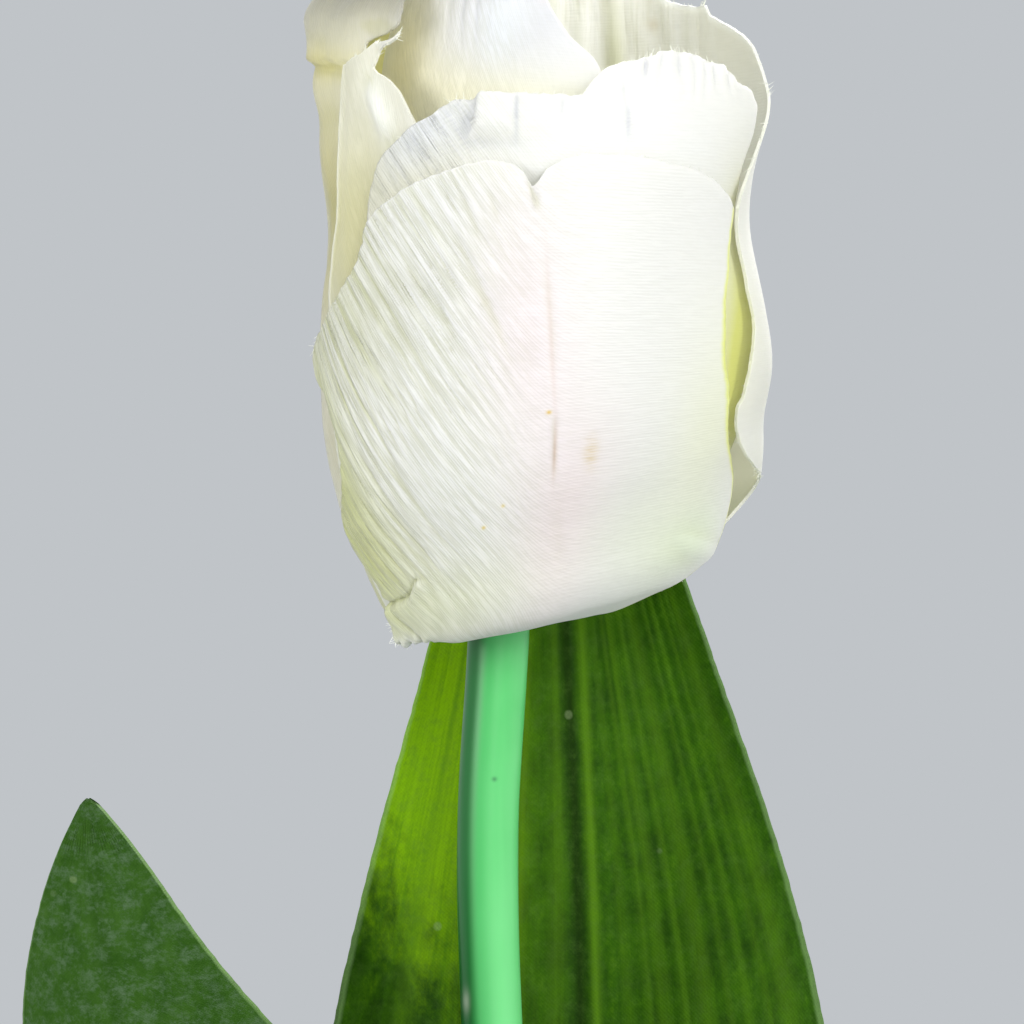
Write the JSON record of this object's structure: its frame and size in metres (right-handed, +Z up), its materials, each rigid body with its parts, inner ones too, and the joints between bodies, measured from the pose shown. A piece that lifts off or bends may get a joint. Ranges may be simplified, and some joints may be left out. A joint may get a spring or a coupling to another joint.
{
  "type": "artificial tulip in a vase",
  "caption": "Artificial white tulip with cloth petals and leaves on a plastic stem, standing in a plain glazed ceramic vase and leaning on its neck.",
  "frame": {"origin": "centre of the vase's flat foot, on the surface it stands on", "axes": "+Z up along the vase's axis, +X to the right and +Y away from the viewer as in the picture"},
  "size_m": [0.1011, 0.0822, 0.3517],
  "materials": {
    "petal_cloth": "woven satin cloth, white, tinted pale green towards the margins and blush at the middle",
    "leaf_cloth": "printed cloth, green with a dark midrib and pale veins",
    "stem_plastic": "moulded plastic, mint green, soft sheen",
    "holder_plastic": "moulded plastic, pale green",
    "stamen_plastic": "moulded plastic, yellow-green",
    "stem_wire": "drawn steel wire",
    "vase_glaze": "off-white satin glaze with a bare foot"
  },
  "bodies": {
    "root": {"vase": "vase_glaze", "stem": "stem_plastic", "stem_wire": "stem_wire", "petal_holder": "holder_plastic", "stamens": "stamen_plastic", "petal_outer_front": "petal_cloth", "petal_outer_right": "petal_cloth", "petal_outer_left": "petal_cloth", "petal_inner_front": "petal_cloth", "petal_inner_left": "petal_cloth", "petal_inner_centre": "petal_cloth", "leaf_back": "leaf_cloth", "leaf_left": "leaf_cloth"}
  },
  "joints": []
}
